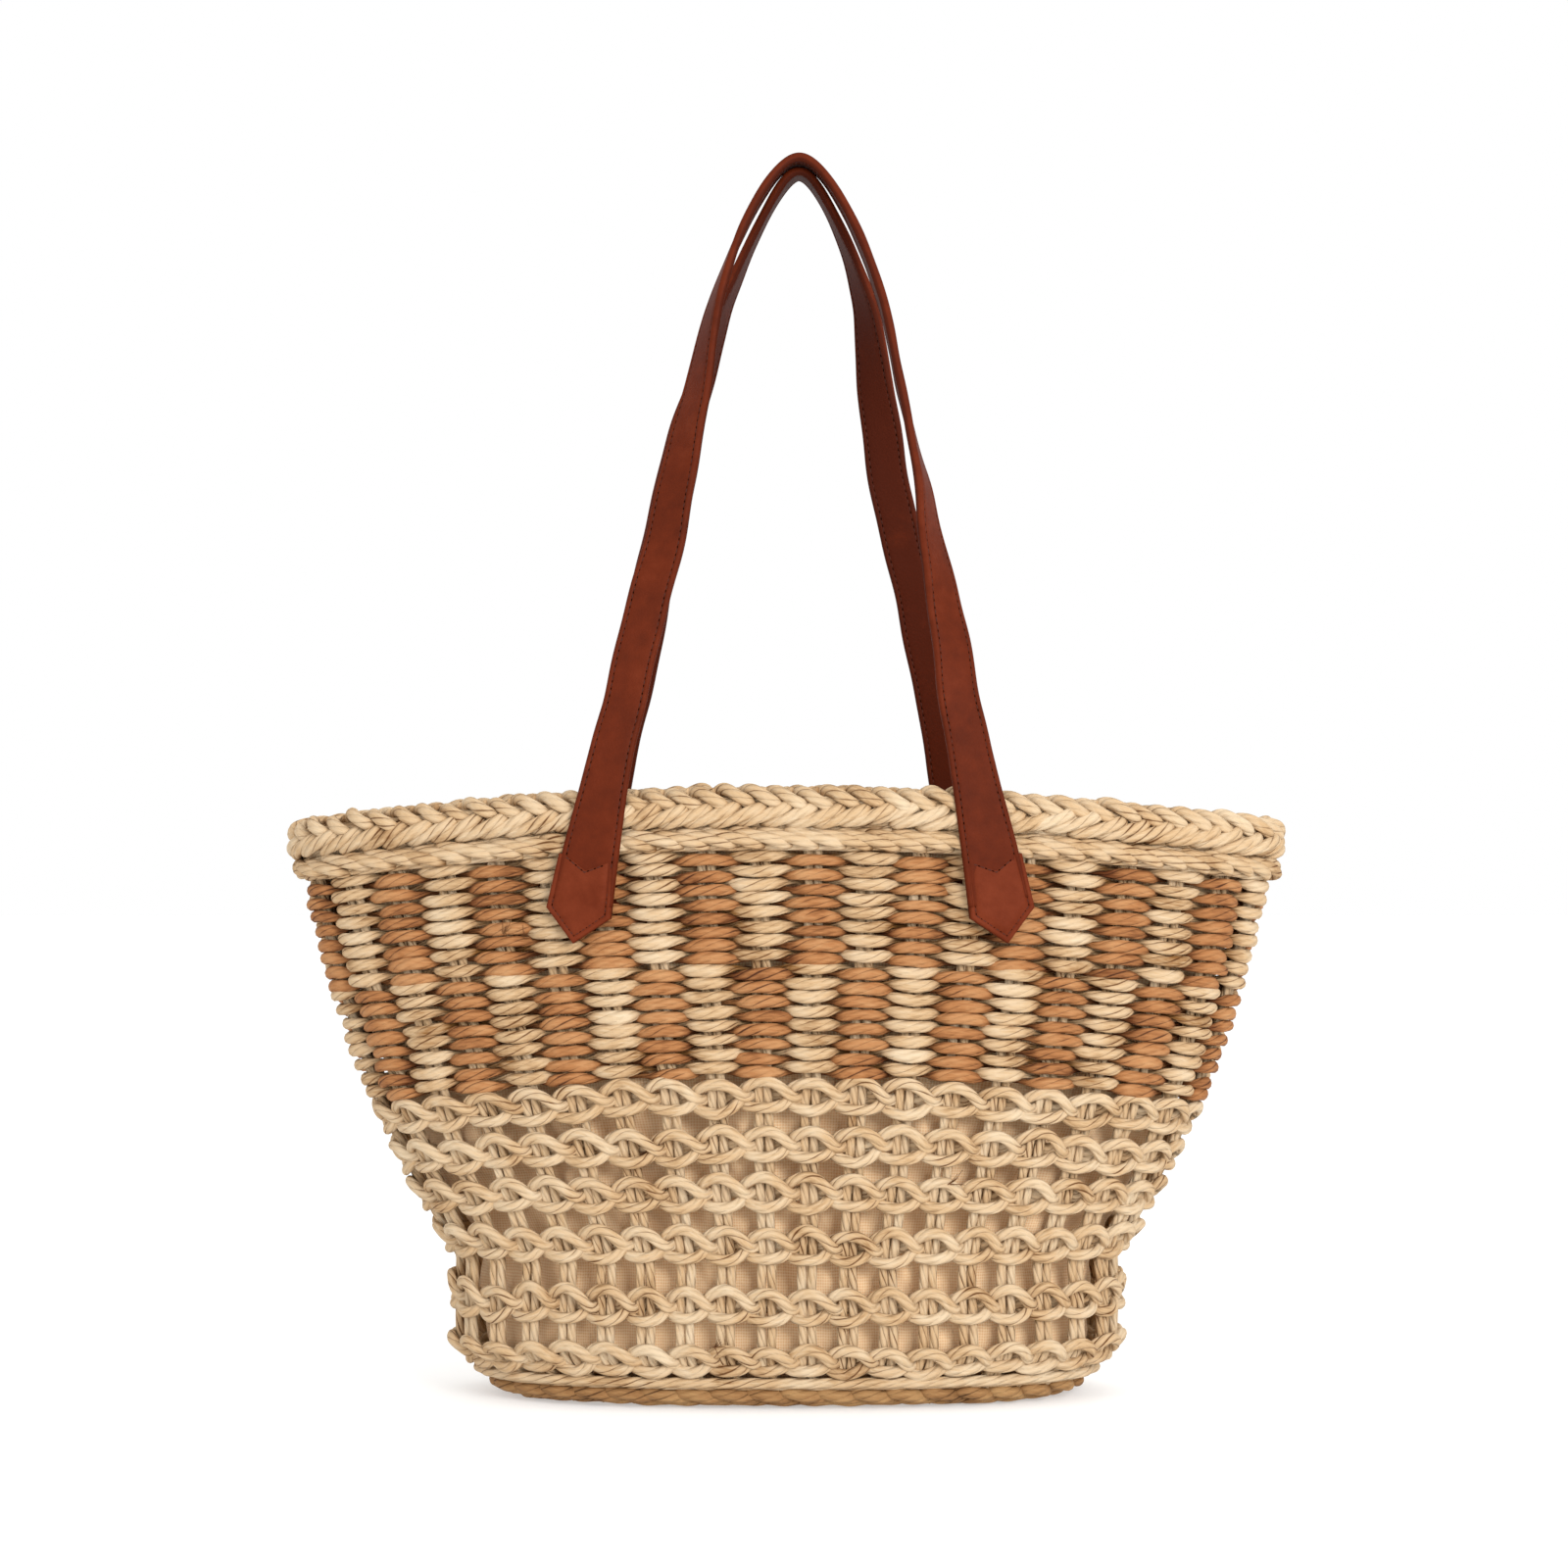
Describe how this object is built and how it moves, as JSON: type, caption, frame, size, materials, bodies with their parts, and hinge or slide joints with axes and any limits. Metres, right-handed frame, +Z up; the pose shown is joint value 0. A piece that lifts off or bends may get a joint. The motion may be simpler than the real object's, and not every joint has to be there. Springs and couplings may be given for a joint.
{
  "type": "woven beach bag",
  "caption": "Open tote woven from twisted paper straw, with checked bands, openwork rows, a cotton lining and leather-look shoulder straps that fold down outside.",
  "frame": {"origin": "centre of the bag's base, at the level it stands on", "axes": "+X along the bag's width, +Y from front to back, +Z up; the front faces -Y"},
  "size_m": [0.4496, 0.1378, 0.5626],
  "materials": {
    "cream_straw": "matte twisted paper cord",
    "brown_straw": "matte twisted paper cord",
    "checked_straw": "matte twisted paper cord, cream and brown in turn",
    "cotton_lining": "plain woven cotton",
    "leather": "satin"
  },
  "bodies": {
    "basket": {"base_panel": "cream_straw", "base_turn_row": "brown_straw", "base_long_stitch_row": "cream_straw", "base_twined_row": "cream_straw", "lace_row_1": "cream_straw", "lace_row_2": "cream_straw", "lace_row_3": "cream_straw", "lace_row_4": "cream_straw", "lace_row_5": "cream_straw", "check_band_lower": "checked_straw", "check_band_upper": "checked_straw", "rim_row": "cream_straw", "rim_braid": "cream_straw", "stakes_1": "cream_straw", "stakes_2": "cream_straw", "stakes_3": "cream_straw", "stakes_4": "cream_straw", "stakes_5": "cream_straw", "stakes_6": "cream_straw", "stakes_7": "cream_straw", "stakes_8": "cream_straw", "lining_front": "cotton_lining", "lining_back": "cotton_lining", "lining_floor": "cotton_lining", "lining_hem": "cotton_lining", "front_left_tab": "leather", "front_left_tab_cap": "leather", "front_left_tab_backing": "leather", "front_right_tab": "leather", "front_right_tab_cap": "leather", "front_right_tab_backing": "leather", "back_left_tab": "leather", "back_left_tab_cap": "leather", "back_left_tab_backing": "leather", "back_right_tab": "leather", "back_right_tab_cap": "leather", "back_right_tab_backing": "leather"},
    "front_handle": {"front_strap_face": "leather", "front_strap_backing": "leather"},
    "back_handle": {"back_strap_face": "leather", "back_strap_backing": "leather"}
  },
  "joints": [
    {"name": "front_handle_fold", "type": "hinge", "parent": "basket", "child": "front_handle", "pos_m": [0, -0.06966, 0.2465], "axis": [1, 0, 0], "range_deg": [0, 145]},
    {"name": "back_handle_fold", "type": "hinge", "parent": "basket", "child": "back_handle", "pos_m": [0, 0.06983, 0.2465], "axis": [-1, 0, 0], "range_deg": [0, 145]}
  ]
}
